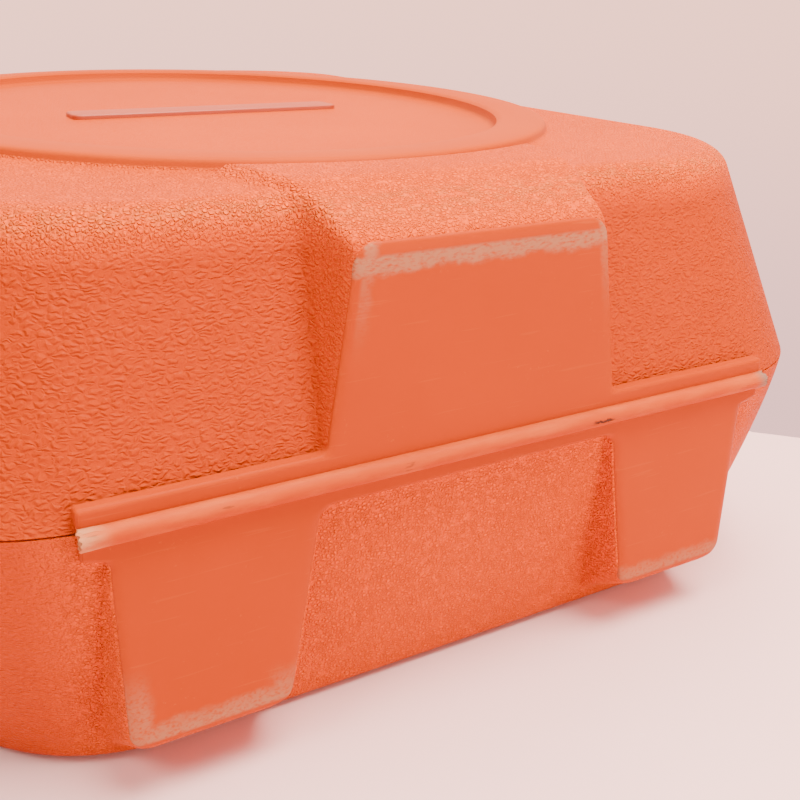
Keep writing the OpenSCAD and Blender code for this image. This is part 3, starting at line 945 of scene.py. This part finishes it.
@dataclass
class LidShell:
    """Outer shell of the lid: drafted walls, a buttress behind the pad and a raised oval band."""

    shop: Workshop
    side_draft: float = 13.0
    end_draft: float = 16.0
    rim_corner: float = 60.0
    top_corner: float = 70.0
    edge: float = 10.0
    oval: tuple[float, float] = (143.0, 200.0)
    band: float = 21.0
    proud: float = 3.6
    sunk: float = 1.6
    flare: float = 5.5
    flare_back: float = 22.0

    def marks(self, z: float, y: float) -> list[float]:
        """Where the buttress's flank starts and where it meets the wall at one height."""
        edge = FIXED.pad_half_low + FIXED.lip - FIXED.pad_lean * (z - FIXED.pad_low)
        foot = edge + self.flare * max(y - FIXED.face, 0.5) / 21.0
        return [edge - 1.5, edge, foot, foot + 7.0]

    def wedge(self, top: float) -> Wedge:
        """The buttress behind the pad."""
        inside, face = (0.0, 200.0, 20.0), FIXED.face
        low, high, cap = FIXED.pad_half_low + FIXED.lip, FIXED.pad_half_top + FIXED.lip, FIXED.pad_top + 0.8
        planes = [Wedge.front()]
        for s in (-1.0, 1.0):
            planes.append(Wedge.plane((s * low, face, FIXED.pad_low), (s * high, face, FIXED.pad_top),
                                      (s * (high + self.flare), self.flare_back, FIXED.pad_top), inside))
        planes.append(Wedge.plane((-10, face, cap), (10, face, cap), (0, self.flare_back, top - 0.2), inside))
        planes.append((np.array([0.0, 0.0, top]), np.array([0.0, 0.0, 1.0])))
        return Wedge(planes, 3.0, 9.0)

    def profile(self, top: float) -> list[tuple[float, float]]:
        """Inset and height of each line across the oval band, from outside."""
        high, low, band = top + self.proud, top - self.sunk, self.band
        return [(-0.9, top), (-0.35, top + 0.35), (0.0, top + 1.0), (0.25, high - 1.5), (0.8, high - 0.7),
                (1.9, high - 0.2), (4.0, high), (band / 2, high), (band - 3.4, high - 0.1),
                (band - 1.6, high - 0.45), (band - 0.5, high - 1.2), (band + 0.1, low + 1.4),
                (band + 0.7, low + 0.5), (band + 1.8, low + 0.05), (band + 4, low)]

    def build(self, material: bpy.types.Material) -> bpy.types.Object:
        """Makes the shell.

        Args:
            material: its material.

        Returns:
            The object.
        """
        size, top = self.shop.size, self.shop.size.lid_top
        wall = Drafted(self.side_draft, self.end_draft, self.edge, top)
        path = Perimeter(size.half_width, FIXED.setback, size.depth, 130.0, (14, 3, 8, 9, 22),
                         LID_LATCHES.edges())
        wedge, skin = self.wedge(top), Skin()

        def add(ring: np.ndarray, angle: float) -> None:
            """Displaces one ring by the buttress and adds it with its grain and painted light."""
            ways = np.repeat([[0.0, -math.cos(angle), math.sin(angle)]], len(ring), 0)
            fold = 6.0 + 6.0 * smoothstep(ring[:, 2], 30.0, 68.0)
            lift = smooth_most(wedge.rise(ring, ways), np.zeros(len(ring)), fold)
            lift = np.where(ring[:, 1] < HINGE_ZONE, lift, 0.0)
            moved = LID_LATCHES.press(ring + ways * lift[:, None])
            moved[:, 2] = np.minimum(moved[:, 2], size.band_top)
            z = moved[:, 2]
            # Smaller grain and painted light towards the lid's top and, a little, on the buttress.
            skin.add(moved, np.clip(smoothstep(z, 60.0, 72.0) + smoothstep(lift, 1.0, 6.0) * 0.25, 0, 1),
                     0.0, smoothstep(z, 66, 72) * (1 - smoothstep(z, 73, 75.5)))

        extra = [LID_LATCHES.top - 0.6, LID_LATCHES.top + 0.4, *range(58, 68, 2)]
        for z in np.unique(np.concatenate([np.linspace(FIXED.gap, wall.wall, 34), extra])):
            share = z / wall.wall
            inset = wall.end_run * share
            radius = self.rim_corner + (self.top_corner - self.rim_corner) * share
            add(path.ring(wall.slope * z, inset, radius, z, self.marks(z, FIXED.setback + inset)), 0.0)
        for side_in, end_in, z, way in wall.turn(10):
            marks = self.marks(z, FIXED.setback + end_in)
            add(path.ring(side_in, end_in, self.top_corner, z, marks), way)
        middle = (FIXED.setback + size.depth) / 2
        rim = path.ring(wall.side_in, wall.end_in, self.top_corner, top, marks)
        polar = np.arctan2((rim[:, 1] - middle) / self.oval[1], rim[:, 0] / self.oval[0])

        def oval(inset: float, z: float) -> np.ndarray:
            """One line of the oval band."""
            a, b = self.oval[0] - inset, self.oval[1] - inset
            return np.column_stack([a * np.cos(polar), middle + b * np.sin(polar), np.full(len(polar), z)])

        profile = self.profile(top)
        for share in (0.12, 0.25, 0.4, 0.55, 0.7, 0.85):
            add(rim * (1 - share) + oval(*profile[0]) * share, math.pi / 2)
        for inset, z in profile:
            skin.add(oval(inset, z), 1.0, 1.0 if inset > -0.2 else 0.3)
        centre = np.array([0.0, middle, profile[-1][1]])
        for share in (0.75, 0.5, 0.25, 0.03, 0.0):
            skin.add(centre + (oval(*profile[-1]) - centre) * share, 1.0, 0.8)
        obj = skin.build(self.shop, "lid_shell", False)
        return self.shop.finish(obj, Body.LID, Slot.GRAINED, material, ["lid_outer_shell"])


@dataclass
class BaseShell:
    """Outer shell of the base: drafted walls and a buttress behind each foot."""

    shop: Workshop
    side_draft: float = 9.0
    end_draft: float = 12.0
    corner: float = 60.0
    edge: float = 8.0
    drop: float = 0.8
    flare: float = 2.6
    flare_back: float = 19.0
    under: float = 10.5
    toe: float = 7.0

    def marks(self, z: float, y: float) -> list[float]:
        """Where each flank of a foot's buttress meets the wall and its face at one height."""
        down = min(max(-z - FIXED.foot_low - self.drop + self.toe, 0.0), self.toe * 0.97)
        turned = self.toe - math.sqrt(self.toe ** 2 - down ** 2)
        inner = FIXED.foot_inner_top - FIXED.lip + FIXED.foot_lean * (max(-z, 4.0) - FIXED.foot_top)
        outer = FIXED.foot_outer + FIXED.lip
        run = self.flare * max(y - FIXED.face, 0.6) / 18.0
        return [inner - run - 5.0, inner - run, inner + turned, inner + turned + 1.5, outer - turned - 1.5,
                outer - turned, outer + run, outer + run + 5.0]

    def wedge(self, side: float) -> Wedge:
        """The buttress behind one foot."""
        inside, face, back = (side * 85.0, 200.0, -40.0), FIXED.face, self.flare_back
        low, top = -FIXED.foot_low - self.drop, -FIXED.foot_top
        inner_top, inner, outer = (FIXED.foot_inner_top - FIXED.lip, FIXED.foot_inner_low - FIXED.lip,
                                   FIXED.foot_outer + FIXED.lip)
        planes = [Wedge.front()]
        for corners in (
            ((inner_top, face, top), (inner, face, low), (inner - self.flare, back, low)),
            ((outer, face, top), (outer, face, low), (outer + self.flare, back, low)),
            ((60.0, face, low), (110.0, face, low), (90.0, 20.0, low - self.under)),
        ):
            planes.append(Wedge.plane(*((side * x, y, z) for x, y, z in corners), inside))
        for edge, out in ((outer, 1.0), (inner, -1.0)):
            for angle in (math.pi / 8, math.pi / 4, math.pi * 3 / 8):
                c, s = math.cos(angle), math.sin(angle)
                way = np.array([side * out * c, 0.0, -s])
                along = np.array([side * out * s, 0.0, c])
                spot = np.array([side * (edge - out * self.toe), face, low + self.toe]) + way * self.toe
                rear = spot + way * (self.flare * c + self.under * s) + np.array([0.0, back - face, 0.0])
                planes.append(Wedge.plane(spot, spot + along * 5, rear, inside))
        return Wedge(planes)

    @staticmethod
    def belly(share: float) -> float:
        """How far the draft has come in at a share of the wall's height: little near the rim."""
        return share ** 1.3

    @staticmethod
    def ledge() -> Wedge:
        """The ledge behind the strip under the hinge."""
        inside, face, end = (0.0, 200.0, -4.0), FIXED.face, FIXED.strip_half - 1.0
        planes = [Wedge.front(), Wedge.plane((-10, face, -8.0), (10, face, -8.0), (0, 4.0, -10.5), inside)]
        for s in (-1.0, 1.0):
            planes.append(Wedge.plane((s * end, face, -1), (s * end, face, -9), (s * (end + 3), 4.0, -5),
                                      inside))
        return Wedge(planes)

    def build(self, material: bpy.types.Material) -> bpy.types.Object:
        """Makes the shell.

        Args:
            material: its material.

        Returns:
            The object.
        """
        size, depth = self.shop.size, self.shop.size.rim
        wall = Drafted(self.side_draft, self.end_draft, self.edge, depth)
        path = Perimeter(size.half_width, FIXED.setback, size.depth, 134.0, (14, 6, 6, 3, 12, 3, 6, 6, 6),
                         BASE_LATCHES.edges() + HANDLE_WELL.edges())
        parts, skin = [(self.wedge(-1.0), 5.0), (self.wedge(1.0), 5.0), (self.ledge(), 1.5)], Skin()

        def add(ring: np.ndarray, angle: float) -> None:
            """Displaces one ring by the buttresses and adds it with its grain and painted light."""
            ways = np.repeat([[0.0, -math.cos(angle), -math.sin(angle)]], len(ring), 0)
            lift = np.zeros(len(ring))
            for part, crease in parts:
                lift = smooth_most(part.rise(ring, ways), lift, crease)
            lift = np.where(ring[:, 1] < HINGE_ZONE, lift, 0.0)
            moved = ring + ways * lift[:, None]
            moved[:, 2] = np.maximum(moved[:, 2], -depth)
            # Smaller grain and painted light on the front and back walls, less towards the left and right
            # ends, which are left darker as painted shade.
            sides = smoothstep(np.abs(ring[:, 0]), 112.0, 135.0)
            skin.add(HANDLE_WELL.press(BASE_LATCHES.press(moved)), 0.9 - 0.75 * sides)

        edges = (HANDLE_WELL.top, BASE_LATCHES.low, HANDLE_WELL.low)
        extra = [step - z for z in edges for step in (-0.5, 0.5)]
        for z in np.unique(np.concatenate([np.linspace(FIXED.gap, wall.wall, 38), extra,
                                           np.linspace(62.7, 74.3, 14)])):
            share = self.belly(z / wall.wall)
            inset = wall.end_run * share
            marks = self.marks(-z, FIXED.setback + inset)
            add(path.ring(wall.slope * wall.wall * share, inset, self.corner, -z, marks), 0.0)
        for side_in, end_in, z, way in wall.turn(8):
            marks = self.marks(-wall.core, FIXED.setback + end_in)
            add(path.ring(side_in, end_in, self.corner, -z, marks), way)
        last = path.ring(wall.side_in, wall.end_in, self.corner, -depth, marks)
        centre = np.array([0.0, (FIXED.setback + size.depth) / 2, -depth])
        for share in (0.96, 0.8, 0.6, 0.4, 0.2, 0.02, 0.0):
            skin.add(centre + (last - centre) * share)
        obj = skin.build(self.shop, "base_shell", True)
        return self.shop.finish(obj, Body.BASE, Slot.GRAINED, material, ["base_outer_shell"])


@dataclass
class HingeSide:
    """Pads, feet and the living hinge."""

    shop: Workshop
    finishes: Finishes
    web: float = 1.2
    inset: float = 0.02
    joint: float = 2.3
    back: float = -1.4
    border: tuple[tuple[float, float], ...] = (
        (0.0, 1.3), (0.08, 1.02), (0.30, 0.80), (0.75, 0.57), (1.4, 0.36), (2.1, 0.19), (2.9, 0.07),
        (3.8, 0.01), (4.6, 0.0))

    @staticmethod
    def facing(points: np.ndarray, depth: float) -> np.ndarray:
        """Puts an outline in x and z at a distance in front of the buttress, counted forwards."""
        return np.column_stack([points[:, 0], np.full(len(points), FIXED.face_front - depth), points[:, 1]])

    def plate(self, name: str, outline: Outline, body: Body, material: bpy.types.Material,
              replaces: Sequence[str]) -> bpy.types.Object:
        """A smooth plate on the hinge side."""
        obj = self.shop.raised(name, outline, self.back, FIXED.face_front, self.border, self.facing)
        return self.shop.finish(obj, body, Slot.SMOOTH, material, replaces, 60.0)

    def upper(self) -> bpy.types.Object:
        """The lid's smooth plate: a strip along the hinge and the pad above it."""
        h, strip, low = FIXED.strip_half, FIXED.strip_top, FIXED.pad_half_low + 0.4
        high, top = FIXED.pad_half_top, FIXED.pad_top
        outline = Outline(
            [(-h, self.joint), (h, self.joint), (h, strip), (low, strip), (high, top), (-high, top),
             (-low, strip), (-h, strip)],
            [0.4, 0.4, 1.2, 3.0, 7.0, 7.0, 3.0, 1.2], 7, [0.0, 0.3, 0.3, 1.0, 1.0, 1.0, 0.3, 0.3])
        return self.plate("spine_plate", outline, Body.LID, self.finishes.pad_upper, ["lid_spine_pad"])

    def lower(self) -> bpy.types.Object:
        """The base's smooth plate: a strip along the hinge that runs down into both feet."""
        h, out = FIXED.strip_half, FIXED.foot_outer
        top_in, low_in = FIXED.foot_inner_top, FIXED.foot_inner_low
        rim, strip, low = -self.joint, -FIXED.foot_top, -FIXED.foot_low
        outline = Outline(
            [(-h, strip + 1.2), (-out, strip - 0.6), (-out, low), (-low_in, low), (-top_in, strip),
             (top_in, strip), (low_in, low), (out, low), (out, strip - 0.6), (h, strip + 1.2), (h, rim),
             (-h, rim)],
            [0.8, 3.0, 6.0, 6.0, 6.0, 6.0, 6.0, 6.0, 3.0, 0.8, 0.4, 0.4], 7,
            [0.3, 1.0, 1.0, 1.0, 0.3, 1.0, 1.0, 1.0, 0.3, 0.3, 0.0, 0.3])
        return self.plate("feet_plate", outline, Body.BASE, self.finishes.pad_lower,
                          ["foot_left", "foot_right"])

    def section(self) -> list[tuple[float, float]]:
        """The web's section in y and z: an arc and the same arc one web's thickness in."""
        y, r = self.shop.size.bead_depth, self.shop.size.bead_radius - self.inset
        angles = np.radians(np.linspace(62, 298, 43))
        lines = ((r, angles), (r - self.web, angles[::-1]))
        return [(y + reach * math.cos(a), reach * math.sin(a)) for reach, line in lines for a in line]

    def hinge(self) -> bpy.types.Object:
        """The bead: a curved web between the two halves, frayed at its ends."""
        size, section = self.shop.size, self.section()
        r, half, y = size.bead_radius - self.inset, size.bead_half, size.bead_depth
        ends = np.array([0, 0.5, 1.2, 2.2, 3.4])
        rings = []
        for s in np.concatenate([ends, np.linspace(5, 2 * half - 5, 180), 2 * half - ends[::-1]]):
            left, end = s < half, min(s, 2 * half - s)
            ring = []
            for i, (py, pz) in enumerate(section):
                ragged = noise.noise(Vector((py * 0.9, pz * 0.9, 3.0 if left else 9.0)))
                pull = (1 - min(end / 5.0, 1.0)) * (0.9 + 1.3 * ragged)
                x = s - half + (pull if left else -pull)
                swell = 1 + 0.006 * noise.noise(Vector((x * 0.16, i * 0.08, 0.0)))
                drop = 0.10 * noise.noise(Vector((x * 0.05, 4.0, 0.0)))
                flare = 1 + 0.07 * (1 - min(end / 7.0, 1.0)) * (1 if left else 0.3)
                ring.append((x, max(py, y - r), pz * swell * flare + drop * (1 - abs(pz) / r)))
            rings.append(ring)
        obj = self.shop.loft("hinge_web", np.array(rings))
        self.shop.smooth(obj, 50.0)
        obj.data.materials.clear()
        obj.data.materials.append(self.finishes.hinge)
        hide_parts("hinge_bead")
        size.spot(0, y, -r)
        size.spot(0, y, r)
        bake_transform(obj)
        self.shop.count += 1
        LOG.info("%s: %d faces", obj.name, len(obj.data.polygons))
        return obj


@dataclass
class Plaque:
    """Blank plaque on the oval's floor."""

    shop: Workshop
    corner: float = 4.0
    sunk: float = 0.4
    border: tuple[tuple[float, float], ...] = ((0.0, 0.8), (0.06, 0.5), (0.22, 0.24), (0.5, 0.06), (0.8, 0.0))

    def build(self, material: bpy.types.Material) -> bpy.types.Object:
        """Makes the plaque to the size of its node.

        Args:
            material: its material.

        Returns:
            The object.
        """
        size = self.shop.size
        low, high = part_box("name_plaque")
        origin = np.array([0.0, size.front, size.rim])
        (x0, y0, z0), (x1, y1, z1) = (np.array(corner) / MM - origin for corner in (low, high))
        outline = Outline([(x0, y0), (x1, y0), (x1, y1), (x0, y1)], [self.corner] * 4)

        def lay(points: np.ndarray, z: float) -> np.ndarray:
            """Puts an outline in x and y at a height."""
            return np.column_stack([points, np.full(len(points), z)])

        obj = self.shop.raised("plaque", outline, z0 - self.sunk, z1, self.border, lay)
        return self.shop.finish(obj, Body.LID, Slot.SMOOTH, material, ["name_plaque"], 60.0)


class Fittings:
    """Finishes of the CAD nodes that stay in view."""

    SLOTS = {
        "inner": ("base_inner_tray", "nest_channel", "nest_handle_pocket", "nest_spanner_pocket",
                  "lid_inner_liner"),
        "black": ("handle_bow", "handle_bracket_left", "handle_bracket_right", "latch_lever_left",
                  "latch_lever_right", "latch_bracket_left", "latch_bracket_right", "latch_keeper_left",
                  "latch_keeper_right"),
        "grip": ("handle_grip",),
        "steel": ("handle_pin_left", "handle_pin_right", "latch_pin_left", "latch_pin_right", "base_rivets",
                  "lid_rivets"),
    }

    def __init__(self, shop: Workshop, finishes: Finishes, nodes: dict[str, bpy.types.Object]) -> None:
        """Dresses the nodes.

        Args:
            shop: the workshop.
            finishes: the materials.
            nodes: CAD nodes by name.
        """
        for kind, names in self.SLOTS.items():
            for node in map(nodes.get, names):
                node.data.materials.clear()
                node.data.materials.append(getattr(finishes, kind))
                shop.smooth(node, 30.0)


# ---------------------------------------------------------------- studio


@dataclass(frozen=True)
class Lamp:
    """One square area light, in metres and watts."""

    name: str
    place: tuple[float, float, float]
    aim: tuple[float, float, float]
    size: float
    power: float
    colour: Rgb = (1.0, 0.92, 0.84)

    def build(self) -> None:
        """Makes the light."""
        bpy.ops.object.light_add(type="AREA", location=self.place)
        lamp = bpy.context.object
        lamp.name = self.name
        lamp.rotation_euler = (Vector(self.aim) - Vector(self.place)).to_track_quat("-Z", "Y").to_euler()
        lamp.data.size = self.size
        lamp.data.energy = self.power
        lamp.data.color = self.colour


@dataclass
class Studio:
    """Camera, pale table and soft lights."""

    lens: float = 43.775
    eye: tuple[float, float, float] = (-0.15367, -0.46624, 0.21539)
    yaw: float = 0.5205
    pitch: float = 0.3921
    roll: float = 0.0149
    # Strength of the backdrop's glow, which is painted light.
    glow: float = 2.85
    lamps: tuple[Lamp, ...] = (
        Lamp("key", (0.22, -0.62, 1.35), (0.05, -0.45, 0.0), 0.7, 50.0),
        Lamp("low", (0.45, -1.10, 0.16), (0.03, -0.2, 0.06), 0.5, 8.5),
        Lamp("side", (-0.80, -0.45, 1.05), (0.0, -0.25, 0.12), 0.4, 9.0),
        Lamp("ceiling", (0.10, 0.20, 1.3), (0.0, 0.0, 0.1), 1.0, 30.0, (1.0, 0.92, 0.82)),
    )

    def camera(self) -> None:
        """Makes the camera."""
        cy, sy, cp, sp = math.cos(self.yaw), math.sin(self.yaw), math.cos(self.pitch), math.sin(self.pitch)
        ahead = Vector((sy * cp, cy * cp, -sp))
        right = Vector((cy, -sy, 0.0))
        up = right.cross(ahead)
        c, s = math.cos(self.roll), math.sin(self.roll)
        across, above = right * c + up * s, up * c - right * s
        bpy.ops.object.camera_add(location=self.eye)
        camera = bpy.context.object
        camera.name = "camera"
        turn = Matrix((across, above, -ahead)).transposed().to_4x4()
        camera.matrix_world = Matrix.Translation(self.eye) @ turn
        camera.data.lens = self.lens
        camera.data.sensor_width = 36.0
        camera.data.clip_start = 0.01
        bpy.context.scene.camera = camera

    def table(self) -> None:
        """Makes the table, whose far edge shows beside the case."""
        g = Graph("table")
        haze = g.noise(0.12, 3.0)
        specks = g.noise(0.0022, 3.0).ramp(0.70, 0.76) * g.noise(0.05, 2.0).ramp(0.5, 0.65)
        top = g.dress(Base_Color=g.mix(specks * 0.5, g.mix(haze, (0.93, 0.60, 0.57), (0.90, 0.55, 0.52)),
                                       (0.95, 0.75, 0.72)),
                      Roughness=0.48 + haze * 0.10, Specular_IOR_Level=0.22)
        corners = [(-3.0, -2.5), (1.92, -2.5), (0.6895, -0.6), (0.2526, -0.1426), (0.205, 0.32),
                   (0.05, 1.5), (-3.0, 1.5)]
        bpy.ops.mesh.primitive_circle_add(vertices=len(corners), fill_type="NGON")
        table = bpy.context.object
        table.name = "table"
        for vertex, (x, y) in zip(table.data.vertices, corners):
            vertex.co = (x, y, 0.0)
        table.data.materials.append(top)

    def backdrop(self) -> None:
        """Makes the glowing sheet behind, square to the camera, whose colour is painted light."""
        g = Graph("backdrop")
        _, _, z = g.axes()
        # Painted light: the backdrop glows by itself, darker towards the bottom.
        glow = g.mix(z.ramp(-1.2, 0.4), (0.62, 0.34, 0.32), (0.93, 0.47, 0.375))
        g.dress(Base_Color=(0.0, 0.0, 0.0), Emission_Color=glow, Emission_Strength=self.glow, Roughness=1.0)
        bpy.ops.mesh.primitive_plane_add(size=9)
        paper_sheet = bpy.context.object
        paper_sheet.name = "backdrop"
        ahead = bpy.context.scene.camera.matrix_world.to_3x3() @ Vector((0, 0, -1))
        level = Vector((ahead.x, ahead.y, 0)).normalized()
        turn = level.to_track_quat("Z", "Y").to_matrix().to_4x4()
        paper_sheet.data.transform(Matrix.Translation(Vector(self.eye) + level * 3.2) @ turn)
        paper_sheet.data.materials.append(g.material)

    def world(self) -> None:
        """Pale surroundings."""
        world = bpy.data.worlds.new("studio")
        bpy.context.scene.world = world
        world.use_nodes = True
        back = world.node_tree.nodes["Background"]
        back.inputs["Color"].default_value = (1.0, 0.88, 0.84, 1.0)
        back.inputs["Strength"].default_value = 0.5

    def build(self) -> None:
        """Makes everything."""
        self.camera()
        self.table()
        self.backdrop()
        self.world()
        for lamp in self.lamps:
            lamp.build()


def main() -> None:
    """Builds the case."""
    logging.basicConfig(level=logging.INFO, format="%(name)s: %(message)s")
    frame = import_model()
    size = Measures.from_frame(frame["joints"])
    LOG.info("measures: %s", size)
    shop = Workshop(size)
    finishes = Finishes(size)
    Fittings(shop, finishes, frame["nodes"])
    LidShell(shop).build(finishes.grained)
    BaseShell(shop).build(finishes.grained)
    side = HingeSide(shop, finishes)
    side.upper()
    side.lower()
    side.hinge()
    Plaque(shop).build(finishes.plaque)
    Studio().build()
    shop.start()
    LOG.info("%d pieces made", shop.count)


if __name__ == "__main__":
    main()
